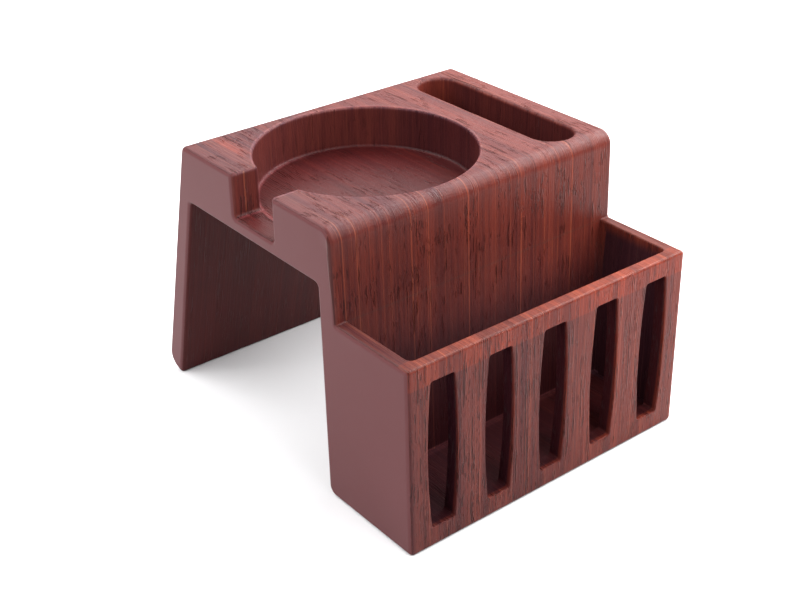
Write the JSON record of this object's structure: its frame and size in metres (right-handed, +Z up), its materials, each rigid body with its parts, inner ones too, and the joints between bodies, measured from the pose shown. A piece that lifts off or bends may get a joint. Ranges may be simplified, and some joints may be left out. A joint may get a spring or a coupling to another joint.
{
  "type": "sofa arm caddy with cup recess, phone slot and side basket",
  "caption": "Saddle-shaped caddy that straddles a sofa arm, with a round cup recess and handle notch, a phone slot and a windowed side basket.",
  "frame": {"origin": "middle of the footprint, on the surface that the caddy stands on", "axes": "+X along the sofa arm and the basket's length, +Y towards the splayed rear leg, +Z up"},
  "size_m": [0.15, 0.1836, 0.124],
  "materials": {
    "grained_moulding": "satin, moulded rosewood grain with plain ends"
  },
  "bodies": {
    "root": {"deck_floor": "grained_moulding", "cup_ring": "grained_moulding", "phone_frame": "grained_moulding", "rear_leg": "grained_moulding", "front_leg": "grained_moulding", "basket_floor": "grained_moulding", "basket_left_end": "grained_moulding", "basket_right_end": "grained_moulding", "front_bottom_rail": "grained_moulding", "front_top_rail": "grained_moulding", "front_left_post": "grained_moulding", "front_slat_1": "grained_moulding", "front_slat_2": "grained_moulding", "front_slat_3": "grained_moulding", "front_slat_4": "grained_moulding", "front_right_post": "grained_moulding"}
  },
  "joints": []
}
